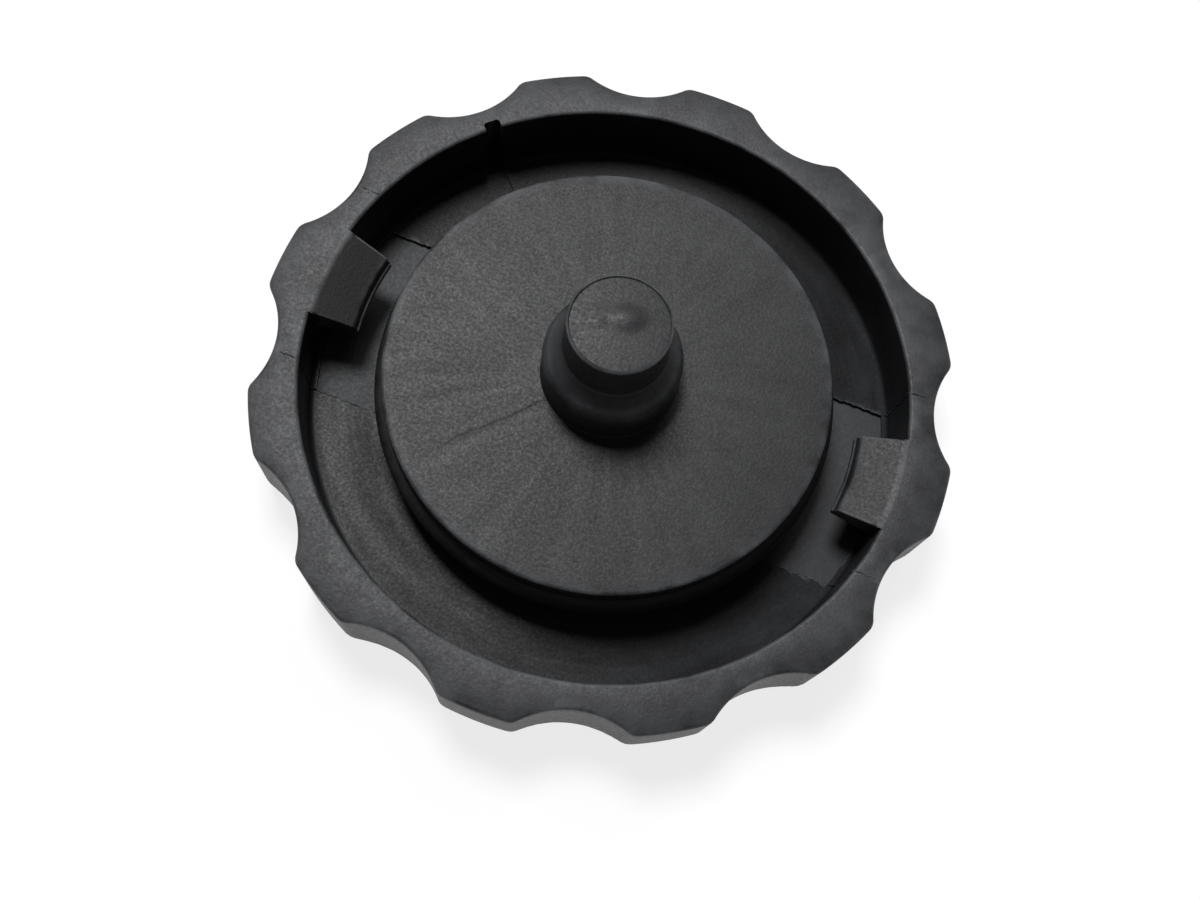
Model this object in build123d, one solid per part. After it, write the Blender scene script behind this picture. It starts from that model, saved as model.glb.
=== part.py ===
from build123d import *
import math
import os

# Power steering reservoir cap, lying on its crown with the inside upwards.
# Millimetres. Z = 0 is the crown's flat face, and the two bayonet lugs lie on the X axis.

# Plate of the centre plug, which enters the reservoir's neck
plug_radius = 19.2
plug_height = 7.1
plug_edge = 0.3
plate_thickness = 2.2
plug_wall = 1.8

# Sealing ring and its groove
ring_section = 2.4
ring_proud = 0.8
ring_flat = 0.1
groove_land = 1.9
groove_clearance = 0.2

# Peg on the plate
peg_base_radius = 5.85
peg_base_height = 4.3
peg_shoulder_width = 1.6
peg_shoulder_rise = 1.4
peg_shoulder_round = 0.8
peg_foot_fillet = 0.6
peg_height = 10.2
peg_tip_edge = 0.3
peg_tip_thickness = 2.0

# Post of the body in the hub of the plug
post_radius = 3.0
post_lead = 0.6
post_clearance = 0.05
post_end_gap = 1.0

# Channel for the neck, between the plug and the skirt
neck_room = 2.0
channel_depth = 6.4
skirt_draft = 1.0
floor_fillet = 0.5

# Bayonet lugs
lug_angle = 18.6
lug_reach = 4.1
lug_thickness = 2.6
lug_fall = 0.9
lug_nose_width = 0.7
lug_nose_drop = 1.0

# Floor strips left by the mould slides under the lugs
slide_width = 17.0
slide_step = 0.3

# Vent slot in the wall, which runs on across the floor
vent_angle = 134.0
vent_width = 1.5
vent_depth = 0.8
vent_floor_depth = 0.25

# Crown, shoulder and grip
crown_thickness = 2.2
crown_round = 2.5
skirt_wall = 2.2
scallop_count = 12
scallop_depth = 1.9
scallop_radius = 8.0
scallop_blend = 1.2
rim_edge = 0.3

# Levels and radii that follow from the sizes above
floor_z = crown_thickness
rim_z = floor_z + channel_depth
lug_under_z = rim_z - lug_thickness
plug_top_z = floor_z + plug_height
peg_base_z = plug_top_z + peg_base_height
peg_tip_z = peg_base_z + peg_shoulder_rise
peg_top_z = plug_top_z + peg_height
peg_tip_radius = peg_base_radius - peg_shoulder_width
hub_top_z = peg_top_z - peg_tip_thickness
hub_bore_radius = post_radius + post_clearance
ring_radius = plug_radius + ring_proud
ring_centre_radius = ring_radius - ring_section / 2
groove_radius = ring_radius - ring_section + ring_flat
groove_top_z = plug_top_z - groove_land
groove_height = ring_section + groove_clearance
ring_z = groove_top_z - groove_height / 2
lug_inner_radius = ring_radius + neck_room
lug_nose_radius = lug_inner_radius + lug_nose_width
skirt_bore_radius = lug_inner_radius + lug_reach
floor_radius = skirt_bore_radius - channel_depth * math.tan(math.radians(skirt_draft))
lobe_radius = skirt_bore_radius + skirt_wall + scallop_depth


def profile(points):
    """Flat face in the XZ plane through (radius, height) points."""
    return make_face(Plane.XZ * Polyline(*points, close=True))


def turned(face, angle=360.0):
    """Solid of revolution about Z, centred on the X axis where it is only a sector."""
    solid = revolve(face, Axis.Z, angle)
    return solid if angle == 360.0 else Rot(0, 0, -angle / 2) * solid


def polar_box(inner, outer, width, bottom, top, angle):
    """Box that runs outwards along a radius at the given angle."""
    box = Box(outer - inner, width, top - bottom, align=(Align.MIN, Align.CENTER, Align.MIN))
    return Rot(0, 0, angle) * Pos(inner, 0, bottom) * box


def grip_blank():
    """Scalloped prism rounded towards the crown."""
    pitch_radius = lobe_radius - scallop_depth + scallop_radius
    half_pitch = 180.0 / scallop_count
    scallops = PolarLocations(pitch_radius, scallop_count, start_angle=half_pitch) * Circle(scallop_radius)
    outline = Circle(lobe_radius) - scallops
    outline = fillet(outline.vertices(), scallop_blend)
    prism = extrude(outline, rim_z)
    prism = chamfer(prism.edges().group_by(Axis.Z)[-1], rim_edge)
    crown_radius = lobe_radius - crown_round
    corner = Pos(crown_radius, 0, crown_round)
    shoulder = Line((0, 0, 0), (crown_radius, 0, 0))
    shoulder += corner * (Plane.XZ * CenterArc((0, 0), crown_round, -90, 90))
    shoulder += Polyline((lobe_radius, 0, crown_round), (lobe_radius, 0, rim_z), (0, 0, rim_z), (0, 0, 0))
    return prism & turned(make_face(shoulder))


def cavity():
    """Drafted space inside the skirt, with a rounded corner at the floor."""
    space = profile([
        (0, floor_z),
        (floor_radius, floor_z),
        (skirt_bore_radius - rim_edge * math.tan(math.radians(skirt_draft)), rim_z - rim_edge),
        (skirt_bore_radius + rim_edge, rim_z),
        (0, rim_z),
    ])
    corner = space.vertices().sort_by_distance((floor_radius, 0, floor_z))[0]
    return turned(fillet(corner, floor_fillet))


def bayonet_lug():
    """Lug on +X, rooted in the wall, with a face that falls gently and then steeply at its nose."""
    nose_z = rim_z - lug_fall
    root_radius = skirt_bore_radius + rim_edge
    return turned(profile([
        (root_radius, lug_under_z),
        (root_radius, rim_z),
        (skirt_bore_radius, rim_z),
        (lug_nose_radius, nose_z),
        (lug_inner_radius, nose_z - lug_nose_drop),
        (lug_inner_radius, lug_under_z),
    ]), lug_angle)


def slide_strips():
    """Shallow recesses of the channel floor under both lugs."""
    ring = Circle(floor_radius - floor_fillet) - Circle(plug_radius)
    strips = ring & Rectangle(2 * lobe_radius, slide_width)
    return Pos(0, 0, floor_z - slide_step) * extrude(strips, slide_step)


def vent_cut():
    """Slot down the wall, and the shallower groove that leads from it to the plug."""
    slot_radius = skirt_bore_radius + vent_depth
    groove_z = floor_z - vent_floor_depth
    slot = polar_box(floor_radius - floor_fillet, slot_radius, vent_width, floor_z, rim_z, vent_angle)
    groove = polar_box(plug_radius, slot_radius, vent_width, groove_z, floor_z, vent_angle)
    return slot + groove


def plug_post():
    """Post that the plug's hub is pressed on."""
    post_length = hub_top_z - post_end_gap - floor_z
    post = extrude(Pos(0, 0, floor_z) * Circle(post_radius), post_length)
    return chamfer(post.edges().group_by(Axis.Z)[-1], post_lead)


def cap_body():
    body = grip_blank() - cavity()
    for turn in (0, 180):
        body += Rot(0, 0, turn) * bayonet_lug()
    return body - slide_strips() - vent_cut() + plug_post()


def centre_plug():
    """Plate, groove, peg and hollow underside, turned as one section."""
    hub_radius = peg_base_radius
    plate_under_z = plug_top_z - plate_thickness
    section = profile([
        (hub_bore_radius, floor_z),
        (hub_radius, floor_z),
        (hub_radius, plate_under_z),
        (groove_radius - plug_wall, plate_under_z),
        (groove_radius - plug_wall, floor_z),
        (plug_radius, floor_z),
        (plug_radius, groove_top_z - groove_height),
        (groove_radius, groove_top_z - groove_height),
        (groove_radius, groove_top_z),
        (plug_radius, groove_top_z),
        (plug_radius, plug_top_z),
        (peg_base_radius, plug_top_z),
        (peg_base_radius, peg_base_z),
        (peg_tip_radius, peg_tip_z),
        (peg_tip_radius, peg_top_z),
        (0, peg_top_z),
        (0, hub_top_z),
        (hub_bore_radius, hub_top_z),
    ])
    rounds = [
        (plug_radius, plug_top_z, plug_edge),
        (peg_base_radius, peg_base_z, peg_shoulder_round),
        (peg_tip_radius, peg_tip_z, peg_foot_fillet),
        (peg_tip_radius, peg_top_z, peg_tip_edge),
    ]
    for radius, height, size in rounds:
        corner = section.vertices().sort_by_distance((radius, 0, height))[0]
        section = fillet(corner, size)
    return turned(section)


def sealing_ring():
    """Round rubber section, flattened where it is stretched over the groove's floor."""
    section = Pos(ring_centre_radius, 0, ring_z) * (Plane.XZ * Circle(ring_section / 2))
    groove_floor = Pos(groove_radius, 0, ring_z) * (
        Plane.XZ * Rectangle(ring_section, ring_section, align=(Align.MIN, Align.CENTER))
    )
    return turned(section & groove_floor)


os.makedirs("parts", exist_ok=True)
export_step(cap_body(), "parts/cap_body.step")
export_step(centre_plug(), "parts/centre_plug.step")
export_step(sealing_ring(), "parts/sealing_ring.step")
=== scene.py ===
"""Looks of a power steering reservoir cap that lies on its crown.

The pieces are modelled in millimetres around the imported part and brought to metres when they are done.
"""

import math
import random
import types

import bmesh
import bpy
from mathutils import Matrix, Quaternion, Vector


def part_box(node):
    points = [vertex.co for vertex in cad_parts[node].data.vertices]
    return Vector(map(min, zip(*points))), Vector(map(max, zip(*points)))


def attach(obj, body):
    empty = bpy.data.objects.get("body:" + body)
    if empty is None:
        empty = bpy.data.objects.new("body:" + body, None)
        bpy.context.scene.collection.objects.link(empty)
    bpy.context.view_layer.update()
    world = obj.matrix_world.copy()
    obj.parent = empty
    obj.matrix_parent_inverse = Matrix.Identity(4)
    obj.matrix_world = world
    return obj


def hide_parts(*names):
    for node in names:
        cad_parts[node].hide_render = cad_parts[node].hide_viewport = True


bl_info = {
    "name": "Reservoir Cap",
    "version": (1, 0, 0),
    "blender": (4, 5, 0),
    "location": "View3D > Sidebar > Reservoir Cap",
    "description": "Models and finishes a power steering reservoir cap",
    "category": "Object",
}

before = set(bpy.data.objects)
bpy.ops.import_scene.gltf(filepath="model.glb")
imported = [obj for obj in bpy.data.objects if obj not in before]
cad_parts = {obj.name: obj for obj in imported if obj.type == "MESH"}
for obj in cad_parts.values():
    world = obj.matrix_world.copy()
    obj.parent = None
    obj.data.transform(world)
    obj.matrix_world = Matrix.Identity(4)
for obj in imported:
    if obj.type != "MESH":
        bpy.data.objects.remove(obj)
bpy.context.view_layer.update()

MM = 0.001

# In the millimetres that the pieces are modelled in: points that count as one place, points that are merged,
# and how many segments a rounding gets
TOUCHING = 0.001
MERGING = 0.003
FEWEST_SEGMENTS = 4
SEGMENTS_PER_MM = 3.5

# Turn, in radians, within which a point counts as lying at the end of a sweep
TURN_TOUCHING = 0.0001

BODY_LOW, BODY_HIGH = (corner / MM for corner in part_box("cap_body"))
PLUG_LOW, PLUG_HIGH = (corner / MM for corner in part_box("centre_plug"))
RING_LOW, RING_HIGH = (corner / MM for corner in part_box("sealing_ring"))


def linear(code):
    """Linear colour, with full alpha, of an sRGB hex value."""
    parts = [int(code[i : i + 2], 16) / 255 for i in (1, 3, 5)]
    return [p / 12.92 if p <= 0.04045 else ((p + 0.055) / 1.055) ** 2.4 for p in parts] + [1.0]


def length(name, description, millimetres):
    """Property for a length, which a user sees in scene units."""
    return bpy.props.FloatProperty(
        name=name, description=description, default=millimetres * MM, min=0.0, precision=5, unit="LENGTH"
    )


def angle(name, description, degrees):
    """Property for an angle."""
    return bpy.props.FloatProperty(
        name=name, description=description, default=math.radians(degrees), subtype="ANGLE"
    )


def colour(name, description, code):
    """Property for a colour."""
    return bpy.props.FloatVectorProperty(
        name=name, description=description, default=linear(code), size=4, min=0.0, max=1.0, subtype="COLOR"
    )


class CapBodySizes(bpy.types.PropertyGroup):
    """Sizes of the moulded body"""

    lobe_radius: length("Lobe radius", "Outside radius of the grip's lobes", BODY_HIGH.x - 0.002)
    scallop_count: bpy.props.IntProperty(
        name="Scallops", description="Number of hollows round the grip", default=12, min=3
    )
    scallop_depth: length("Scallop depth", "How far a hollow goes in from the lobes", 1.9)
    scallop_radius: length("Scallop radius", "Radius of a hollow", 8.0)
    scallop_blend: length("Scallop blend", "Rounding between a hollow and a lobe", 1.2)
    runout_blend: length("Run-out blend", "Softening where a hollow runs out into the shoulder", 0.8)
    crown_round: length("Crown rounding", "Radius of the shoulder between crown and grip", 2.5)
    rim_height: length("Rim height", "Height of the rim above the crown's face", 8.6)
    rim_edge: length("Rim edge", "Rounding of the rim's edges", 0.3)
    bore_radius: length("Bore radius", "Radius of the inner wall at the rim", 26.1)
    floor_radius: length("Floor radius", "Radius of the inner wall at the floor", 25.988)
    floor_height: length("Floor height", "Height of the channel's floor above the crown's face", PLUG_LOW.z)
    floor_fillet: length("Floor fillet", "Rounding between floor and inner wall", 0.5)
    post_radius: length("Post radius", "Radius of the post inside the plug", 3.0)
    post_height: length("Post height", "Height of the post's end", BODY_HIGH.z)
    post_lead: length("Post lead", "Rounding of the post's end", 0.6)
    lug_angle: angle("Lug angle", "Angle that one bayonet lug takes up", 18.6)
    lug_inner_radius: length("Lug inner radius", "Radius of the lugs' noses", 22.0)
    lug_under: length("Lug underside", "Height of the lugs' undersides", 6.0)
    lug_fall: length("Lug fall", "How far a lug's face falls to its nose", 1.3)
    lug_nose_width: length("Lug nose width", "Width of the steep nose", 0.4)
    lug_nose_drop: length("Lug nose drop", "Fall of the steep nose", 0.75)
    lug_ledge: length("Lug ledge", "Narrow step at the foot of the steep nose", 0.2)
    lug_edge: length("Lug edge", "Rounding of the lugs' edges", 0.15)
    slide_width: length("Slide width", "Width of the floor strips left by the mould's slides", 17.0)
    slide_step: length("Slide step", "Depth of these strips", 0.3)
    plug_radius: length("Plug radius", "Radius at which the strips end under the plug", PLUG_HIGH.x)
    vent_angle: angle("Vent angle", "Place of the vent slot round the axis", 134.0)
    vent_width: length("Vent width", "Width of the vent slot", 1.5)
    vent_depth: length("Vent depth", "Depth of the slot in the wall", 0.8)
    vent_floor_depth: length("Vent floor depth", "Depth of the groove in the floor", 0.25)
    vent_corner: length("Vent corner", "Rounding of the corners at the slot's back", 0.3)
    flash_height: length("Flash height", "Thickness of the flash along the slides' edges", 0.07)
    flash_step: length("Flash step", "Spacing of the points along the flash", 0.22)
    flash_wander: length("Flash wander", "How far the flash strays to either side", 0.06)
    flash_start: length("Flash start", "Gap between the plug and the start of the flash", 0.9)


class CapPlugSizes(bpy.types.PropertyGroup):
    """Sizes of the centre plug and its sealing ring"""

    radius: length("Radius", "Radius of the plate", PLUG_HIGH.x)
    foot: length("Foot", "Height of the plug's foot", PLUG_LOW.z)
    top: length("Top", "Height of the plate's face", 9.3)
    edge: length("Edge", "Rounding of the plate's edge", 0.3)
    plate_under: length("Plate underside", "Height of the plate's underside", 7.1)
    inner_radius: length("Inner radius", "Radius of the hollow underside", 15.9)
    groove_radius: length("Groove radius", "Radius of the ring groove's floor", 17.7)
    groove_top: length("Groove top", "Height of the groove's upper side", 7.4)
    groove_bottom: length("Groove bottom", "Height of the groove's lower side", 4.8)
    hub_bore: length("Hub bore", "Radius of the hole for the post", 3.05)
    hub_top: length("Hub top", "Height of the hole's end", 17.5)
    peg_base_radius: length("Peg base radius", "Radius of the peg's base", 5.85)
    peg_base_top: length("Peg base top", "Height at which the base ends", 13.6)
    peg_shoulder_round: length("Peg shoulder rounding", "Setback of the rounding at the top of the base", 1.0)
    peg_tip_radius: length("Peg tip radius", "Radius of the peg's narrow end", 4.25)
    peg_tip_foot: length("Peg tip foot", "Height at which the narrow end starts", 15.0)
    peg_foot_fillet: length("Peg foot fillet", "Rounding at the foot of the narrow end", 0.24)
    peg_top: length("Peg top", "Height of the peg's end", PLUG_HIGH.z - 0.002)
    peg_edge: length("Peg edge", "Rounding of the peg's end", 0.3)
    gate_height: length("Gate height", "Height of the gate mark on the peg's end", 0.2)
    peg_crown: length("Peg crown", "How far the peg's end falls away towards its edge", 0.16)
    ring_radius: length("Ring radius", "Outside radius of the sealing ring", RING_HIGH.x)
    ring_height: length("Ring height", "Height of the ring's middle", (RING_LOW.z + RING_HIGH.z) / 2)
    ring_section: length("Ring section", "Thickness of the ring", RING_HIGH.z - RING_LOW.z)


class CapFinish(bpy.types.PropertyGroup):
    """Colours of the cap and of the studio"""

    nylon_dark: colour("Nylon, dark", "Darker tone of the black nylon", "#141517")
    nylon_light: colour("Nylon, light", "Lighter tone of the black nylon", "#1e1f21")
    nylon_fleck: colour("Nylon flecks", "Glass fibre ends near the surface", "#3c3d40")
    worn_edge: colour("Worn edges", "Rubbed edges and scuffs", "#4a4b4e")
    rubbed: colour("Rubbed plastic", "Rim and grip that hands have rubbed", "#3d3e41")
    # The oil smear colour also paints shade: the far-left floor and the left lug are darkened with it.
    smear_and_shade: colour("Oil smear", "Oily dark smears on the channel's floor", "#0a0a0b")
    slide_mark: colour("Slide marks", "Duller skin that the mould's slides leave", "#303133")
    rubber: colour("Rubber", "Black nitrile rubber", "#101011")
    rubber_dust: colour("Rubber dust", "Bloom and dust on the rubber", "#232324")
    floor: colour("Floor", "White studio floor", "#ffffff")


class CapStudio(bpy.types.PropertyGroup):
    """Camera and light"""

    azimuth: angle("Azimuth", "Direction of the camera round the cap, from the X axis", -81.94)
    elevation: angle("Elevation", "Height of the camera above the horizon", 70.487)
    roll: angle("Roll", "Turn of the camera about its own axis", 13.2)
    distance: length("Distance", "From the camera to the point that it looks at", 105.211)
    target: bpy.props.FloatVectorProperty(
        name="Target",
        description="Point that the camera looks at",
        default=(1.639 * MM, -6.549 * MM, 8.6 * MM),
        subtype="TRANSLATION",
        unit="LENGTH",
        precision=5,
    )
    lens: bpy.props.FloatProperty(
        name="Lens", description="Focal length on a 36 mm wide sensor", default=37.835, unit="CAMERA"
    )
    key_azimuth: angle("Key azimuth", "Direction of the key lamp round the cap", 131.0)
    key_elevation: angle("Key elevation", "Height of the key lamp above the horizon", 67.0)
    lamp_distance: length("Lamp distance", "From either lamp to the cap", 420.0)
    key_size: length("Key size", "Width of the key lamp", 140.0)
    key_power: bpy.props.FloatProperty(
        name="Key power", description="Power of the key lamp", default=1.8, min=0.0, unit="POWER"
    )
    fill_azimuth: angle("Fill azimuth", "Direction of the fill lamp round the cap", 88.0)
    fill_elevation: angle("Fill elevation", "Height of the fill lamp above the horizon", 50.0)
    fill_size: length("Fill size", "Width of the fill lamp", 180.0)
    fill_power: bpy.props.FloatProperty(
        name="Fill power", description="Power of the fill lamp", default=0.3, min=0.0, unit="POWER"
    )
    floor_radius: length("Floor radius", "Radius of the white paper", 350.0)
    floor_gap: length("Floor gap", "How far the paper lies under the crown's face", 0.05)
    sky: bpy.props.FloatProperty(
        name="Sky", description="Strength of the even light", default=0.1, min=0.0, subtype="FACTOR"
    )


class CapSettings(bpy.types.PropertyGroup):
    """All settings of the cap"""

    body: bpy.props.PointerProperty(type=CapBodySizes, name="Body", description="Sizes of the body")
    plug: bpy.props.PointerProperty(type=CapPlugSizes, name="Plug", description="Sizes of the plug")
    finish: bpy.props.PointerProperty(type=CapFinish, name="Finish", description="Colours")
    studio: bpy.props.PointerProperty(type=CapStudio, name="Studio", description="Camera and light")


def in_millimetres(group):
    """The group's settings, with lengths in the millimetres that the pieces are modelled in."""
    sizes = {}
    for setting in group.bl_rna.properties:
        if setting.identifier not in ("rna_type", "name"):
            value = getattr(group, setting.identifier)
            sizes[setting.identifier] = value / MM if setting.unit == "LENGTH" else value
    return types.SimpleNamespace(**sizes)


# Modelling


def begin(name, point):
    """Adds an object that is one selected vertex, in edit mode, for drawing on."""
    bpy.ops.object.select_all(action="DESELECT")
    bpy.ops.mesh.primitive_plane_add(size=1.0, location=(0, 0, 0))
    piece = bpy.context.object
    piece.name = piece.data.name = name
    bpy.ops.object.mode_set(mode="EDIT")
    bpy.ops.mesh.select_mode(type="VERT")
    bpy.ops.mesh.merge(type="CENTER")
    bpy.ops.transform.translate(value=point)
    return piece


def draw_on(points):
    """Draws edges from the selected vertex, which is at the first point, through the others."""
    for start, end in zip(points, points[1:]):
        step = Vector(end) - Vector(start)
        bpy.ops.mesh.extrude_vertices_move(TRANSFORM_OT_translate={"value": step})


def pick(piece, kind, test):
    """Selects the vertices, edges or faces that pass the test, and nothing else."""
    bpy.ops.mesh.select_mode(type={"verts": "VERT", "edges": "EDGE", "faces": "FACE"}[kind])
    bpy.ops.mesh.select_all(action="DESELECT")
    mesh = bmesh.from_edit_mesh(piece.data)
    picked = [item for item in getattr(mesh, kind) if test(item)]
    for item in picked:
        item.select_set(True)
    mesh.select_flush_mode()
    bmesh.update_edit_mesh(piece.data)
    return len(picked)


def turn_of(point):
    """Angle of a point round the axis, to either side of X."""
    return abs(math.atan2(point.y, point.x))


def draw_section(name, corners, longest, closed=False):
    """Half section in the XZ plane, with corners (radius, height, rounding) and no edge over the longest."""
    points = [Vector((radius, 0.0, height)) for radius, height, rounding in corners]
    piece = begin(name, points[0])
    draw_on(points)
    if closed:
        ends = (points[0], points[-1])
        pick(piece, "verts", lambda v: any((v.co - end).length < TOUCHING for end in ends))
        bpy.ops.mesh.edge_face_add()
    for point, (radius, height, rounding) in zip(points, corners):
        if rounding:
            pick(piece, "verts", lambda v: (v.co - point).length < TOUCHING)
            bpy.ops.mesh.bevel(
                offset_type="OFFSET",
                offset=rounding,
                segments=max(FEWEST_SEGMENTS, round(rounding * SEGMENTS_PER_MM)),
                affect="VERTICES",
                clamp_overlap=True,
            )
    while pick(piece, "edges", lambda e: e.calc_length() > longest):
        bpy.ops.mesh.subdivide(number_cuts=1)
    return piece


def spin_section(steps, sweep):
    """Turns the drawn section about the Z axis and closes its seams and poles."""
    bpy.ops.mesh.select_all(action="SELECT")
    bpy.ops.mesh.spin(steps=steps, angle=sweep, center=(0, 0, 0), axis=(0, 0, 1))
    close_seams()


def close_seams():
    """Merges points that lie on each other and turns all faces outwards."""
    bpy.ops.mesh.select_all(action="SELECT")
    bpy.ops.mesh.remove_doubles(threshold=MERGING)
    bpy.ops.mesh.normals_make_consistent(inside=False)


def apply_modifier(piece, kind, **settings):
    """Adds a modifier with its settings and applies it."""
    bpy.ops.object.mode_set(mode="OBJECT")
    bpy.ops.object.select_all(action="DESELECT")
    piece.select_set(True)
    bpy.context.view_layer.objects.active = piece
    bpy.ops.object.modifier_add(type=kind)
    modifier = piece.modifiers[-1]
    for name, value in settings.items():
        setattr(modifier, name, value)
    bpy.ops.object.modifier_apply(modifier=modifier.name)


def mirror(piece, across_x, across_y):
    """Mirrors a piece across the planes that hold the Z axis."""
    apply_modifier(piece, "MIRROR", use_axis=(across_x, across_y, False), merge_threshold=MERGING)


def combine(piece, tool, operation):
    """Cuts a tool from a piece or joins it to it, and removes the tool."""
    apply_modifier(piece, "BOOLEAN", object=tool, operation=operation, solver="EXACT")
    bpy.data.objects.remove(tool)


def mark_edges(piece):
    """Keeps, in an attribute, how sharply the piece's small roundings turn outwards, for the wear on them."""
    least, most = math.radians(4), math.radians(16)
    longest = 0.9 * MM
    mesh = bmesh.new()
    mesh.from_mesh(piece.data)
    wear = []
    for vertex in mesh.verts:
        bends = [e.calc_face_angle_signed(0.0) for e in vertex.link_edges]
        small = all(e.calc_length() < longest for e in vertex.link_edges)
        bend = max(bends) if small and min(bends) > -least else 0.0
        wear.append(min(max((bend - least) / (most - least), 0.0), 1.0))
    mesh.free()
    piece.data.attributes.new("edge_wear", "FLOAT", "POINT").data.foreach_set("value", wear)


def complete(piece, node, material):
    """Smooths a piece, brings it to metres, gives it its finish and lets it stand for its CAD node."""
    smooth_below = math.radians(32)
    if bpy.context.mode != "EDIT_MESH":
        bpy.ops.object.select_all(action="DESELECT")
        piece.select_set(True)
        bpy.context.view_layer.objects.active = piece
        bpy.ops.object.mode_set(mode="EDIT")
    bpy.ops.mesh.select_all(action="SELECT")
    bpy.ops.transform.resize(value=(MM, MM, MM), center_override=(0, 0, 0))
    bpy.ops.object.mode_set(mode="OBJECT")
    mark_edges(piece)
    bpy.ops.object.shade_smooth_by_angle(angle=smooth_below)
    apply_modifier(piece, "WEIGHTED_NORMAL", keep_sharp=True)
    piece.data.materials.clear()
    piece.data.materials.append(material)
    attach(piece, "root")
    if node:
        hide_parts(node)


def scallop_outline(turn, size):
    """Radius of the grip's outline at an angle from the middle of a lobe, corners blended."""
    half_pitch = math.pi / size.scallop_count
    pitch = size.lobe_radius - size.scallop_depth + size.scallop_radius
    centre = size.lobe_radius - size.scallop_blend
    reach = size.scallop_radius + size.scallop_blend
    blend_turn = half_pitch - math.acos((centre**2 + pitch**2 - reach**2) / (2 * centre * pitch))
    if turn <= blend_turn:
        return size.lobe_radius
    blend = Vector((centre * math.cos(blend_turn), centre * math.sin(blend_turn)))
    scallop = Vector((pitch * math.cos(half_pitch), pitch * math.sin(half_pitch)))
    meeting = blend.lerp(scallop, size.scallop_blend / reach)
    if turn <= math.atan2(meeting.y, meeting.x):
        away = turn - blend_turn
        return centre * math.cos(away) + math.sqrt(size.scallop_blend**2 - (centre * math.sin(away)) ** 2)
    away = half_pitch - turn
    return pitch * math.cos(away) - math.sqrt(size.scallop_radius**2 - (pitch * math.sin(away)) ** 2)


def softly_lower(a, b, blend):
    """The lower of two values, rounded off where they are nearly equal."""
    if blend <= 0.0:
        return min(a, b)
    overlap = max(blend - abs(a - b), 0.0)
    return min(a, b) - overlap * overlap / (4 * blend)


def press_scallops(piece, size):
    """Draws the outside in to the scalloped outline; the hollows run out into the round shoulder."""
    inner_edge = size.bore_radius + size.rim_edge
    outer_edge = size.lobe_radius - size.rim_edge
    soft_start = 2.0
    bpy.ops.object.mode_set(mode="OBJECT")
    for vertex in piece.data.vertices:
        radius = math.hypot(vertex.co.x, vertex.co.y)
        if radius <= inner_edge:
            continue
        outline = scallop_outline(turn_of(vertex.co), size)
        below = size.crown_round - vertex.co.z
        if below < TOUCHING:
            share = min((radius - inner_edge) / (outer_edge - inner_edge), 1.0)
            drawn = radius - share * (size.lobe_radius - outline)
        else:
            drawn = softly_lower(radius, outline, size.runout_blend * min(below / soft_start, 1.0))
        vertex.co.x *= drawn / radius
        vertex.co.y *= drawn / radius


def grip_and_skirt(size):
    """Half a lobe of the body, turned and pressed in, then mirrored and repeated round the axis."""
    piece = draw_section(
        "cap_body_moulding",
        [
            (0, 0, 0),
            (size.lobe_radius, 0, size.crown_round),
            (size.lobe_radius, size.rim_height, size.rim_edge),
            (size.bore_radius, size.rim_height, size.rim_edge),
            (size.floor_radius, size.floor_height, size.floor_fillet),
            (size.post_radius, size.floor_height, 0),
            (size.post_radius, size.post_height, size.post_lead),
            (0, size.post_height, 0),
        ],
        longest=2.4,
    )
    pitch = math.tau / size.scallop_count
    spin_section(steps=30, sweep=pitch / 2)
    press_scallops(piece, size)
    mirror(piece, False, True)
    bpy.ops.object.mode_set(mode="EDIT")
    bpy.ops.mesh.select_all(action="SELECT")
    bpy.ops.mesh.spin(
        steps=size.scallop_count - 1, angle=math.tau - pitch, dupli=True, center=(0, 0, 0), axis=(0, 0, 1)
    )
    close_seams()
    bpy.ops.object.mode_set(mode="OBJECT")
    return piece


def bayonet_lugs(size):
    """Both lugs, rooted in the wall, from half of one."""
    sunk = 0.01
    root = size.bore_radius + 2 * size.rim_edge
    top = size.rim_height - sunk
    nose = size.rim_height - size.lug_fall
    ledge_top = nose - size.lug_nose_drop * 0.8
    ledge_foot = nose - size.lug_nose_drop * 0.9
    half = size.lug_angle / 2
    piece = draw_section(
        "lugs",
        [
            (root, size.lug_under, 0),
            (root, top, 0),
            (size.bore_radius, top, 0),
            (size.lug_inner_radius + size.lug_nose_width, nose, size.lug_edge),
            (size.lug_inner_radius + size.lug_ledge, ledge_top, size.lug_edge / 2),
            (size.lug_inner_radius, ledge_foot, size.lug_edge / 2),
            (size.lug_inner_radius, size.lug_under, size.lug_edge),
        ],
        longest=0.8,
        closed=True,
    )
    spin_section(steps=18, sweep=half)

    def at_end(vertex):
        return turn_of(vertex.co) > half - TURN_TOUCHING

    def stands_free(vertex):
        return at_end(vertex) and vertex.co.xy.length < size.bore_radius - sunk

    pick(piece, "edges", lambda e: all(at_end(v) for v in e.verts))
    bpy.ops.mesh.edge_face_add()
    pick(piece, "edges", lambda e: all(stands_free(v) for v in e.verts))
    bpy.ops.mesh.bevel(
        offset_type="OFFSET", offset=size.lug_edge, segments=3, affect="EDGES", clamp_overlap=True
    )
    bpy.ops.mesh.select_all(action="SELECT")
    bpy.ops.mesh.normals_make_consistent(inside=False)
    mirror(piece, True, True)
    return piece


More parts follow.
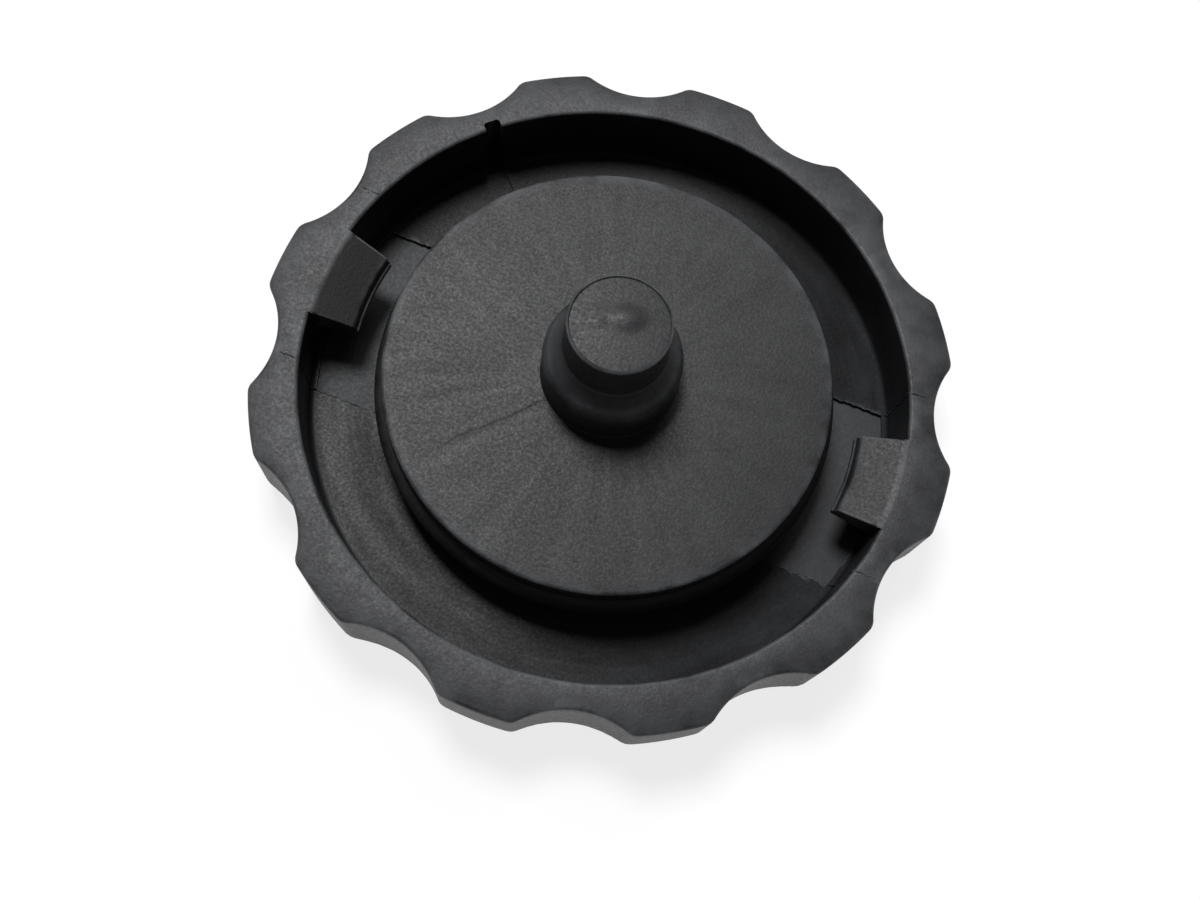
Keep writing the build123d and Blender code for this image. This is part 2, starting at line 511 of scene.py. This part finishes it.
def slide_cutter(size):
    """Both floor strips that the mould's slides leave, with parallel sides."""
    clearance = 1.0
    sweep = math.radians(30)
    depth = size.floor_height - size.slide_step
    clear = size.floor_height + clearance
    outer = size.floor_radius - size.floor_fillet
    piece = draw_section(
        "slide_strips",
        [
            (size.plug_radius, depth, 0),
            (outer, depth, 0),
            (outer, clear, 0),
            (size.plug_radius, clear, 0),
        ],
        longest=8.0,
        closed=True,
    )
    spin_section(steps=60, sweep=sweep)
    side = math.copysign(1.0, sum(v.co.y for v in bmesh.from_edit_mesh(piece.data).verts))
    bpy.ops.mesh.select_all(action="SELECT")
    bpy.ops.mesh.bisect(
        plane_co=(0, side * size.slide_width / 2, 0), plane_no=(0, side, 0), use_fill=True, clear_outer=True
    )
    bpy.ops.mesh.select_all(action="SELECT")
    bpy.ops.mesh.normals_make_consistent(inside=False)
    mirror(piece, True, True)
    return piece


def vent_cutter(size):
    """Slot in the wall and groove in the floor, with round corners at the slot's back."""
    clearance = 1.0
    outer = size.bore_radius + size.vent_depth
    low = size.floor_height - size.vent_floor_depth
    high = size.rim_height + clearance
    bpy.ops.object.select_all(action="DESELECT")
    bpy.ops.mesh.primitive_cube_add(size=1.0, location=(0, 0, 0))
    piece = bpy.context.object
    piece.name = piece.data.name = "vent"
    bpy.ops.object.mode_set(mode="EDIT")
    bpy.ops.transform.resize(value=(outer - size.plug_radius, size.vent_width, high - low))
    bpy.ops.transform.translate(value=((outer + size.plug_radius) / 2, 0, (high + low) / 2))

    def stands_at_back(edge):
        first, second = (v.co for v in edge.verts)
        return min(first.x, second.x) > outer - TOUCHING and abs(first.z - second.z) > TOUCHING

    pick(piece, "edges", stands_at_back)
    bpy.ops.mesh.bevel(offset=size.vent_corner, segments=4, affect="EDGES")
    bpy.ops.mesh.select_all(action="SELECT")
    bpy.ops.transform.rotate(value=-size.vent_angle, orient_axis="Z", center_override=(0, 0, 0))
    bpy.ops.object.mode_set(mode="OBJECT")
    return piece


class CAP_OT_body(bpy.types.Operator):
    """Model the body: crown, scalloped grip, inner wall, channel floor, bayonet lugs and vent slot"""

    bl_idname = "cap.body"
    bl_label = "Cap Body"

    def execute(self, context):
        settings = context.scene.reservoir_cap
        size = in_millimetres(settings.body)
        piece = grip_and_skirt(size)
        combine(piece, slide_cutter(size), "DIFFERENCE")
        combine(piece, vent_cutter(size), "DIFFERENCE")
        combine(piece, bayonet_lugs(size), "UNION")
        complete(piece, "cap_body", body_nylon(settings))
        return {"FINISHED"}


class CAP_OT_flash(bpy.types.Operator):
    """Model the ragged flash that the mould's slides leave along their edges on the floor, wall and rim"""

    bl_idname = "cap.flash"
    bl_label = "Slide Flash"

    def execute(self, context):
        settings = context.scene.reservoir_cap
        size = in_millimetres(settings.body)
        chance = random.Random(7)
        ridges = []
        for side_x in (-1, 1):
            for side_y in (-1, 1):
                points = [(side_x * x, side_y * size.slide_width / 2, z) for x, z in self.route(size)]
                ridges.append(self.lay_ridge(points, chance, size))
        bpy.ops.object.select_all(action="DESELECT")
        for ridge in ridges:
            ridge.select_set(True)
        bpy.context.view_layer.objects.active = ridges[0]
        bpy.ops.object.join()
        piece = bpy.context.object
        piece.name = piece.data.name = "slide_flash"
        complete(piece, None, body_nylon(settings))
        return {"FINISHED"}

    def route(self, size):
        """Close (x, z) points along a slide's edge: over the floor, up the wall and across the rim."""
        stops = [
            (size.plug_radius + size.flash_start, size.floor_height),
            (size.floor_radius - size.floor_fillet, size.floor_height),
            (size.floor_radius, size.floor_height + size.floor_fillet),
            (size.bore_radius, size.rim_height - size.rim_edge),
            (size.bore_radius + size.rim_edge, size.rim_height),
            (size.lobe_radius - size.scallop_depth - size.rim_edge, size.rim_height),
        ]
        stops = [(math.sqrt(radius**2 - (size.slide_width / 2) ** 2), z) for radius, z in stops]
        points = []
        for (x0, z0), (x1, z1) in zip(stops, stops[1:]):
            count = max(2, round(math.hypot(x1 - x0, z1 - z0) / size.flash_step))
            for i in range(count):
                points.append((x0 + (x1 - x0) * i / count, z0 + (z1 - z0) * i / count))
        return points

    def lay_ridge(self, points, chance, size):
        """One ragged ridge through the points, each thrown a little to the side and of its own thickness."""
        wander = size.flash_wander
        points = [Vector(p) + Vector((0, chance.uniform(-wander, wander), 0)) for p in points]
        begin("ridge", points[0])
        draw_on(points)
        bpy.ops.object.mode_set(mode="OBJECT")
        bpy.ops.object.convert(target="CURVE")
        ridge = bpy.context.object
        ridge.data.bevel_depth = size.flash_height
        ridge.data.bevel_resolution = 2
        ridge.data.fill_mode = "FULL"
        ridge.data.use_fill_caps = True
        for point in ridge.data.splines[0].points:
            point.radius = chance.choice((0.25, 0.5, 0.7, 0.9, 1.3))
        bpy.ops.object.convert(target="MESH")
        return bpy.context.object


class CAP_OT_plug(bpy.types.Operator):
    """Model the centre plug: plate, ring groove, hollow underside and stepped peg with its gate mark"""

    bl_idname = "cap.plug"
    bl_label = "Centre Plug"

    def execute(self, context):
        settings = context.scene.reservoir_cap
        size = in_millimetres(settings.plug)
        crisp = 0.1
        finest = 0.16
        face = size.peg_top - size.gate_height
        piece = draw_section(
            "centre_plug_moulding",
            [
                (0, face, 0),
                (size.peg_tip_radius, face, size.peg_edge),
                (size.peg_tip_radius, size.peg_tip_foot, size.peg_foot_fillet),
                (size.peg_base_radius, size.peg_base_top, size.peg_shoulder_round),
                (size.peg_base_radius, size.top, 0.8 * crisp),
                (size.radius, size.top, size.edge),
                (size.radius, size.groove_top, crisp),
                (size.groove_radius, size.groove_top, 0),
                (size.groove_radius, size.groove_bottom, 0),
                (size.radius, size.groove_bottom, crisp),
                (size.radius, size.foot, crisp),
                (size.inner_radius, size.foot, 0),
                (size.inner_radius, size.plate_under, 0),
                (size.peg_base_radius, size.plate_under, 0),
                (size.peg_base_radius, size.foot, 0),
                (size.hub_bore, size.foot, 0),
                (size.hub_bore, size.hub_top, 0),
                (0, size.hub_top, 0),
            ],
            longest=1.6,
        )

        def coarse_on_face(edge):
            return edge.calc_length() > finest and all(v.co.z > face - TOUCHING for v in edge.verts)

        while pick(piece, "edges", coarse_on_face):
            bpy.ops.mesh.subdivide(number_cuts=1)
        spin_section(steps=360, sweep=math.tau)
        self.raise_gate(piece, face, size)
        complete(piece, "centre_plug", plug_nylon(settings))
        return {"FINISHED"}

    def raise_gate(self, piece, face, size):
        """Raises the gate mark, a soft dome that a lower one runs into, and crowns the face."""
        full_height = 0.95
        blending = 3
        # Each dome's middle, its half axes, its lean and its share of the height
        lobes = [
            (Vector((-1.7, 0.0)), Vector((1.7, 1.4)), math.radians(20), 0.5),
            (Vector((0.25, 0.6)), Vector((2.1, 1.55)), math.radians(20), 1.0),
        ]
        top = bmesh.from_edit_mesh(piece.data)
        for vertex in top.verts:
            if vertex.co.z < face - TOUCHING:
                continue
            rise = 0.0
            for centre, reach, lean, share in lobes:
                away = vertex.co.xy - centre
                away.rotate(Matrix.Rotation(-lean, 2))
                inside = 1.0 - math.hypot(away.x / reach.x, away.y / reach.y)
                step = min(max(inside / full_height, 0.0), 1.0)
                rise += (share * step * step * (3 - 2 * step)) ** blending
            outwards = vertex.co.xy.length_squared / size.peg_tip_radius**2
            vertex.co.z += rise ** (1 / blending) * size.gate_height - outwards * size.peg_crown
        bmesh.update_edit_mesh(piece.data)


class CAP_OT_ring(bpy.types.Operator):
    """Model the rubber sealing ring, flattened on the groove's floor"""

    bl_idname = "cap.ring"
    bl_label = "Sealing Ring"

    def execute(self, context):
        settings = context.scene.reservoir_cap
        size = in_millimetres(settings.plug)
        half = size.ring_section / 2
        middle = size.ring_radius - half
        open_turn = math.acos((middle - size.groove_radius) / half)
        sides = 36
        points = []
        for i in range(sides + 1):
            turn = (math.pi - open_turn) * (2 * i / sides - 1)
            points.append((middle + half * math.cos(turn), size.ring_height + half * math.sin(turn), 0))
        piece = draw_section("sealing_ring_rubber", points, longest=2.5, closed=True)
        spin_section(steps=240, sweep=math.tau)
        complete(piece, "sealing_ring", ring_rubber(settings))
        return {"FINISHED"}


# Finishes


def per_mm(size):
    """Texture scale of a pattern whose grains are this many millimetres wide."""
    return 1.0 / (size * MM)


def add_node(tree, kind, inputs=None, **settings):
    """Adds a shader node; an input takes a value, or a socket that is linked to it."""
    node = tree.nodes.new("ShaderNode" + kind)
    for name, value in settings.items():
        setattr(node, name, value)
    for name, value in (inputs or {}).items():
        if isinstance(value, bpy.types.NodeSocket):
            tree.links.new(value, node.inputs[name])
        else:
            node.inputs[name].default_value = value
    return node


def new_material(name):
    """Material with an empty node tree."""
    material = bpy.data.materials.new(name)
    material.use_nodes = True
    material.node_tree.nodes.clear()
    return material, material.node_tree


def polar_place(tree, place, turns, step):
    """Coordinates that go round the axis and outwards, for streaks along either, and the radius."""
    flat = add_node(
        tree, "VectorMath", {0: place, 1: (1.0, 1.0, 0.0)}, operation="MULTIPLY"
    ).outputs["Vector"]
    heading = add_node(tree, "VectorMath", {0: flat}, operation="NORMALIZE").outputs["Vector"]
    radius = add_node(tree, "VectorMath", {0: flat}, operation="LENGTH").outputs["Value"]
    spread = add_node(tree, "VectorMath", {0: heading, "Scale": turns}, operation="SCALE").outputs["Vector"]
    along = add_node(tree, "Math", {0: radius, 1: per_mm(step)}, operation="MULTIPLY").outputs["Value"]
    lifted = add_node(tree, "CombineXYZ", {"Z": along}).outputs["Vector"]
    coords = add_node(tree, "VectorMath", {0: spread, 1: lifted}, operation="ADD").outputs["Vector"]
    return coords, radius


def finish_nylon(name, finish, place_tone):
    """Glass-filled nylon out of a spark-eroded mould.

    It is near black and dull. The fine grain spreads the lamps into a grey haze on faces that look up,
    faint clouds show where the melt cooled unevenly, fibre ends make pale flecks, and handled edges are
    rubbed lighter. The grain and the fibre ends are drawn coarser than the real ones, which are too fine
    for the picture.
    """
    material, tree = new_material(name)
    place = add_node(tree, "TexCoord").outputs["Object"]
    grain = add_node(
        tree, "TexNoise", {"Vector": place, "Scale": per_mm(0.25), "Detail": 3.0, "Roughness": 0.6}
    ).outputs["Fac"]
    cloud = add_node(
        tree, "TexNoise", {"Vector": place, "Scale": per_mm(3.5), "Detail": 4.0, "Roughness": 0.62}
    ).outputs["Fac"]
    fibre = add_node(tree, "TexNoise", {"Vector": place, "Scale": per_mm(0.5), "Detail": 1.0}).outputs["Fac"]
    clouded = add_node(
        tree, "MapRange", {"Value": cloud, "From Min": 0.35, "From Max": 0.65}
    ).outputs["Result"]
    skin = add_node(
        tree, "MixRGB", {"Fac": clouded, "Color1": finish.nylon_dark, "Color2": finish.nylon_light}
    ).outputs["Color"]
    flecked = add_node(
        tree, "MapRange", {"Value": fibre, "From Min": 0.68, "From Max": 0.8, "To Max": 0.2}
    ).outputs["Result"]
    skin = add_node(
        tree, "MixRGB", {"Fac": flecked, "Color1": skin, "Color2": finish.nylon_fleck}
    ).outputs["Color"]
    skin, dulling = place_tone(tree, place, skin, cloud)
    edge = add_node(tree, "Attribute", attribute_name="edge_wear").outputs["Fac"]
    patchy = add_node(
        tree, "MapRange", {"Value": cloud, "From Min": 0.38, "From Max": 0.62, "To Min": 0.15}
    ).outputs["Result"]
    worn = add_node(tree, "Math", {0: edge, 1: patchy}, operation="MULTIPLY").outputs["Value"]
    skin = add_node(
        tree, "MixRGB", {"Fac": worn, "Color1": skin, "Color2": finish.worn_edge}
    ).outputs["Color"]
    rough = add_node(
        tree, "MapRange", {"Value": grain, "From Min": 0.3, "From Max": 0.7, "To Min": 0.41, "To Max": 0.59}
    ).outputs["Result"]
    rough = add_node(tree, "Math", {0: rough, 1: dulling}, operation="ADD").outputs["Value"]
    relief = add_node(
        tree, "Math", {0: cloud, 1: 2.0, 2: grain}, operation="MULTIPLY_ADD"
    ).outputs["Value"]
    bump = add_node(
        tree, "Bump", {"Strength": 1.0, "Distance": 0.02 * MM, "Height": relief}
    ).outputs["Normal"]
    shader = add_node(
        tree,
        "BsdfPrincipled",
        {"Base Color": skin, "Roughness": rough, "IOR": 1.5, "Specular IOR Level": 0.25, "Normal": bump},
    )
    add_node(tree, "OutputMaterial", {"Surface": shader.outputs["BSDF"]})
    return material


def body_nylon(settings):
    """The body's nylon: rubbed rim and grip, oil smears on the floor, painted shade on the far-left floor and
    on the left lug, dull strips from the slides.
    """
    name = "moulded black nylon, body"
    if name in bpy.data.materials:
        return bpy.data.materials[name]
    size, finish = settings.body, settings.finish

    def place_tone(tree, place, skin, cloud):
        axes = add_node(tree, "SeparateXYZ", {"Vector": place}).outputs
        coords, radius = polar_place(tree, place, 2.0, 1.6)

        def mask(*limits):
            """One where every given value passes its limit."""
            tests = [
                add_node(tree, "Math", {0: value, 1: limit}, operation=operation).outputs["Value"]
                for value, operation, limit in limits
            ]
            passed = tests[0]
            for test in tests[1:]:
                passed = add_node(tree, "Math", {0: passed, 1: test}, operation="MULTIPLY").outputs["Value"]
            return passed

        aside = add_node(tree, "Math", {0: axes["Y"]}, operation="ABSOLUTE").outputs["Value"]
        bore = (radius, "LESS_THAN", size.bore_radius)
        inside = (axes["Z"], "GREATER_THAN", size.floor_height - 2 * size.slide_step)
        strip = mask(
            bore,
            inside,
            (aside, "LESS_THAN", size.slide_width / 2),
            (axes["Z"], "LESS_THAN", size.floor_height - 0.05 * MM),
        )
        ground = mask(bore, inside, (axes["Z"], "LESS_THAN", size.floor_height + 0.2 * MM))
        rim = mask((axes["Z"], "GREATER_THAN", size.rim_height - 0.15 * MM))
        grip = mask(
            (axes["Z"], "LESS_THAN", size.rim_height - size.rim_edge),
            (radius, "GREATER_THAN", size.lobe_radius - size.scallop_depth - 0.1 * MM),
        )
        smear_and_shade = add_node(
            tree, "TexNoise", {"Vector": coords, "Scale": 1.0, "Detail": 4.0, "Roughness": 0.65}
        ).outputs["Fac"]
        smear_and_shade = add_node(
            tree, "MapRange", {"Value": smear_and_shade, "From Min": 0.4, "From Max": 0.75, "To Max": 0.6}
        ).outputs["Result"]
        dry = add_node(
            tree, "MapRange", {"Value": axes["X"], "From Min": -4 * MM, "From Max": 16 * MM}
        ).outputs["Result"]
        dry = add_node(tree, "Math", {0: dry, 1: ground}, operation="MULTIPLY").outputs["Value"]
        # Painted shade: the floor darkens towards the far left, where the wall's shadow falls; it joins the
        # oil smears.
        far_left = (-0.77, 0.64, 0.0)
        behind = add_node(
            tree, "VectorMath", {0: place, 1: far_left}, operation="DOT_PRODUCT"
        ).outputs["Value"]
        far_left_painted_shade = add_node(
            tree, "MapRange", {"Value": behind, "From Min": 14 * MM, "From Max": 23 * MM, "To Max": 0.75}
        ).outputs["Result"]
        smear_and_shade = add_node(tree, "Math", {0: smear_and_shade, 1: far_left_painted_shade}, operation="MAXIMUM").outputs["Value"]
        smear_and_shade = add_node(tree, "Math", {0: smear_and_shade, 1: ground}, operation="MULTIPLY").outputs["Value"]
        # Painted shade: the left lug, and the wall just beside it, take the smear colour in full.
        left_lug_painted_shade = mask(
            bore,
            (axes["Z"], "GREATER_THAN", size.lug_under),
            (axes["X"], "LESS_THAN", -size.lug_inner_radius + 0.8 * MM),
        )
        patches = {"From Min": 0.3, "From Max": 0.7, "To Min": 0.1, "To Max": 0.75}
        handled = add_node(tree, "MapRange", {"Value": cloud, **patches}).outputs["Result"]
        rim = add_node(tree, "Math", {0: rim, 1: handled}, operation="MULTIPLY").outputs["Value"]
        tones = [
            (rim, finish.rubbed),
            (grip, finish.rubbed),
            (smear_and_shade, finish.smear_and_shade),
            (strip, finish.slide_mark),
            (left_lug_painted_shade, finish.smear_and_shade),
        ]
        for amount, tone in tones:
            skin = add_node(tree, "MixRGB", {"Fac": amount, "Color1": skin, "Color2": tone}).outputs["Color"]
        matt = add_node(tree, "Math", {0: dry, 1: 0.3}, operation="MULTIPLY").outputs["Value"]
        matt = add_node(tree, "Math", {0: smear_and_shade, 1: 0.2, 2: matt}, operation="MULTIPLY_ADD").outputs["Value"]
        bare = add_node(tree, "Math", {0: 1.0, 1: strip}, operation="SUBTRACT").outputs["Value"]
        dulling = add_node(tree, "Math", {0: strip, 1: 0.1}, operation="MULTIPLY").outputs["Value"]
        dulling = add_node(
            tree, "Math", {0: matt, 1: bare, 2: dulling}, operation="MULTIPLY_ADD"
        ).outputs["Value"]
        return skin, dulling

    return finish_nylon(name, finish, place_tone)


def plug_nylon(settings):
    """The plug's nylon, with streaks that run out from the gate on the peg and one weld line."""
    finish = settings.finish

    def place_tone(tree, place, skin, cloud):
        streaks, radius = polar_place(tree, place, 12.0, 9.0)
        flow = add_node(
            tree, "TexNoise", {"Vector": streaks, "Scale": 1.0, "Detail": 3.0, "Roughness": 0.6}
        ).outputs["Fac"]
        faint = {"From Min": 0.3, "From Max": 0.7, "To Min": -0.03, "To Max": 0.03}
        dulling = add_node(tree, "MapRange", {"Value": flow, **faint}).outputs["Result"]
        weld = math.radians(-133.5)
        across = add_node(
            tree, "VectorMath", {0: place, 1: (-math.sin(weld), math.cos(weld), 0.0)}, operation="DOT_PRODUCT"
        ).outputs["Value"]
        along = add_node(
            tree, "VectorMath", {0: place, 1: (math.cos(weld), math.sin(weld), 0.0)}, operation="DOT_PRODUCT"
        ).outputs["Value"]
        wander = add_node(
            tree, "MapRange", {"Value": cloud, "To Min": -0.8 * MM, "To Max": 0.8 * MM}
        ).outputs["Result"]
        across = add_node(tree, "Math", {0: across, 1: wander}, operation="ADD").outputs["Value"]
        across = add_node(tree, "Math", {0: across}, operation="ABSOLUTE").outputs["Value"]
        line = add_node(
            tree, "MapRange", {"Value": across, "From Max": 0.2 * MM, "To Min": 0.45, "To Max": 0.0}
        ).outputs["Result"]
        fading = {"From Min": 14 * MM, "From Max": 16 * MM, "To Min": 1.0, "To Max": 0.0}
        reach = add_node(tree, "MapRange", {"Value": along, **fading}).outputs["Result"]
        start = add_node(tree, "Math", {0: along, 1: 5.0 * MM}, operation="GREATER_THAN").outputs["Value"]
        line = add_node(tree, "Math", {0: line, 1: reach}, operation="MULTIPLY").outputs["Value"]
        line = add_node(tree, "Math", {0: line, 1: start}, operation="MULTIPLY").outputs["Value"]
        skin = add_node(
            tree, "MixRGB", {"Fac": line, "Color1": skin, "Color2": finish.smear_and_shade}
        ).outputs["Color"]
        dulling = add_node(
            tree, "Math", {0: line, 1: 0.25, 2: dulling}, operation="MULTIPLY_ADD"
        ).outputs["Value"]
        return skin, dulling

    return finish_nylon("moulded black nylon, plug", finish, place_tone)


def ring_rubber(settings):
    """Nitrile rubber with a moulded, faintly dusty skin that hardly shines."""
    finish = settings.finish
    material, tree = new_material("nitrile rubber, ring")
    place = add_node(tree, "TexCoord").outputs["Object"]
    bloom = add_node(
        tree, "TexNoise", {"Vector": place, "Scale": per_mm(1.5), "Detail": 4.0, "Roughness": 0.65}
    ).outputs["Fac"]
    dusty = add_node(
        tree, "MapRange", {"Value": bloom, "From Min": 0.45, "From Max": 0.75, "To Max": 0.6}
    ).outputs["Result"]
    skin = add_node(
        tree, "MixRGB", {"Fac": dusty, "Color1": finish.rubber, "Color2": finish.rubber_dust}
    ).outputs["Color"]
    rough = add_node(
        tree, "MapRange", {"Value": bloom, "From Min": 0.3, "From Max": 0.7, "To Min": 0.5, "To Max": 0.68}
    ).outputs["Result"]
    bump = add_node(
        tree, "Bump", {"Strength": 0.4, "Distance": 0.01 * MM, "Height": bloom}
    ).outputs["Normal"]
    shader = add_node(
        tree, "BsdfPrincipled", {"Base Color": skin, "Roughness": rough, "IOR": 1.52, "Normal": bump}
    )
    add_node(tree, "OutputMaterial", {"Surface": shader.outputs["BSDF"]})
    return material


def seen_directly(tree):
    """One for rays from the camera, from shiny faces and through clear ones."""
    path = add_node(tree, "LightPath").outputs
    seen = add_node(
        tree, "Math", {0: path["Is Camera Ray"], 1: path["Is Glossy Ray"]}, operation="MAXIMUM"
    ).outputs["Value"]
    return add_node(
        tree, "Math", {0: seen, 1: path["Is Transmission Ray"]}, operation="MAXIMUM"
    ).outputs["Value"]


def studio_white(settings):
    """Matt paper, white to the camera and in reflections, with the cap's soft shadow; open from below."""
    material, tree = new_material("matt white studio paper")
    paper = add_node(tree, "BsdfDiffuse", {"Color": settings.finish.floor}).outputs["BSDF"]
    glow = add_node(tree, "Emission", {"Color": settings.finish.floor, "Strength": 1.0}).outputs["Emission"]
    white = add_node(tree, "Math", {0: seen_directly(tree), 1: 0.8}, operation="MULTIPLY").outputs["Value"]
    front = add_node(tree, "MixShader", {0: white, 1: paper, 2: glow}).outputs["Shader"]
    clear = add_node(tree, "BsdfTransparent").outputs["BSDF"]
    behind = add_node(tree, "NewGeometry").outputs["Backfacing"]
    shader = add_node(tree, "MixShader", {0: behind, 1: front, 2: clear}).outputs["Shader"]
    add_node(tree, "OutputMaterial", {"Surface": shader})
    return material


def heading_to(azimuth, elevation):
    """Direction from the cap towards a lamp or the camera."""
    flat = math.cos(elevation)
    return Vector((flat * math.cos(azimuth), flat * math.sin(azimuth), math.sin(elevation)))


class CAP_OT_studio(bpy.types.Operator):
    """Set up the white floor and room, the lamps and the camera"""

    bl_idname = "cap.studio"
    bl_label = "Studio"

    def execute(self, context):
        settings = context.scene.reservoir_cap
        studio = settings.studio
        self.build_floor(settings)
        for name in ("key", "fill"):
            azimuth, elevation, size, power = (
                getattr(studio, f"{name}_{setting}") for setting in ("azimuth", "elevation", "size", "power")
            )
            self.hang_lamp(f"{name}_lamp", azimuth, elevation, studio.lamp_distance, size, power)
        self.light_sky(context.scene, studio)
        self.place_camera(context.scene, studio)
        context.scene.view_settings.view_transform = "Standard"
        return {"FINISHED"}

    def build_floor(self, settings):
        """Round sheet of white paper just under the crown's face."""
        bpy.ops.object.select_all(action="DESELECT")
        bpy.ops.mesh.primitive_circle_add(
            vertices=96, radius=settings.studio.floor_radius, fill_type="NGON", location=(0, 0, 0)
        )
        floor = bpy.context.object
        floor.name = floor.data.name = "studio_floor"
        bpy.ops.object.mode_set(mode="EDIT")
        bpy.ops.transform.translate(value=(0, 0, -settings.studio.floor_gap))
        bpy.ops.object.mode_set(mode="OBJECT")
        floor.data.materials.clear()
        floor.data.materials.append(studio_white(settings))

    def hang_lamp(self, name, azimuth, elevation, distance, size, power):
        """Round soft lamp that faces the cap."""
        away = heading_to(azimuth, elevation)
        bpy.ops.object.light_add(type="AREA", location=away * distance)
        lamp = bpy.context.object
        lamp.name = name
        lamp.rotation_euler = away.to_track_quat("Z", "Y").to_euler()
        lamp.data.shape = "DISK"
        lamp.data.size = size
        lamp.data.energy = power

    def light_sky(self, scene, studio):
        """Even dim light; the camera sees a white room, and reflections see it up to just over the horizon."""
        scene.world = bpy.data.worlds.new("studio_room")
        scene.world.use_nodes = True
        tree = scene.world.node_tree
        tree.nodes.clear()
        heading = add_node(tree, "TexCoord").outputs["Generated"]
        height = add_node(tree, "SeparateXYZ", {"Vector": heading}).outputs["Z"]
        horizon = {"From Min": 0.08, "From Max": 0.2, "To Min": 1.0, "To Max": 0.0}
        low = add_node(tree, "MapRange", {"Value": height, **horizon}).outputs["Result"]
        white = add_node(
            tree, "Math", {0: low, 1: seen_directly(tree)}, operation="MULTIPLY"
        ).outputs["Value"]
        camera = add_node(tree, "LightPath").outputs["Is Camera Ray"]
        white = add_node(tree, "Math", {0: white, 1: camera}, operation="MAXIMUM").outputs["Value"]
        strength = add_node(
            tree, "MapRange", {"Value": white, "To Min": studio.sky, "To Max": 1.0}
        ).outputs["Result"]
        sky = add_node(tree, "Background", {"Color": (1.0, 1.0, 1.0, 1.0), "Strength": strength})
        add_node(tree, "OutputWorld", {"Surface": sky.outputs["Background"]})

    def place_camera(self, scene, studio):
        """Camera at the photograph's angle, turned about its own axis."""
        back = heading_to(studio.azimuth, studio.elevation)
        bpy.ops.object.camera_add(location=Vector(studio.target) + back * studio.distance)
        camera = bpy.context.object
        camera.rotation_mode = "QUATERNION"
        camera.rotation_quaternion = (-back).to_track_quat("-Z", "Y") @ Quaternion((0, 0, 1), studio.roll)
        camera.data.sensor_width = 36.0
        camera.data.lens = studio.lens
        camera.data.clip_start = 0.005
        scene.camera = camera


class CAP_PT_sidebar(bpy.types.Panel):
    """Lists the steps that make the cap"""

    bl_idname = "CAP_PT_sidebar"
    bl_label = "Reservoir Cap"
    bl_space_type = "VIEW_3D"
    bl_region_type = "UI"
    bl_category = "Reservoir Cap"

    def draw(self, context):
        for step in STEPS:
            self.layout.operator(step.bl_idname)


STEPS = (CAP_OT_body, CAP_OT_flash, CAP_OT_plug, CAP_OT_ring, CAP_OT_studio)
CLASSES = (CapBodySizes, CapPlugSizes, CapFinish, CapStudio, CapSettings, *STEPS, CAP_PT_sidebar)


def register():
    for item in CLASSES:
        bpy.utils.register_class(item)
    bpy.types.Scene.reservoir_cap = bpy.props.PointerProperty(
        type=CapSettings, name="Reservoir cap", description="Settings of the reservoir cap"
    )


def unregister():
    del bpy.types.Scene.reservoir_cap
    for item in reversed(CLASSES):
        bpy.utils.unregister_class(item)


def main():
    register()
    bpy.ops.cap.body()
    bpy.ops.cap.flash()
    bpy.ops.cap.plug()
    bpy.ops.cap.ring()
    bpy.ops.cap.studio()


if __name__ == "__main__":
    main()
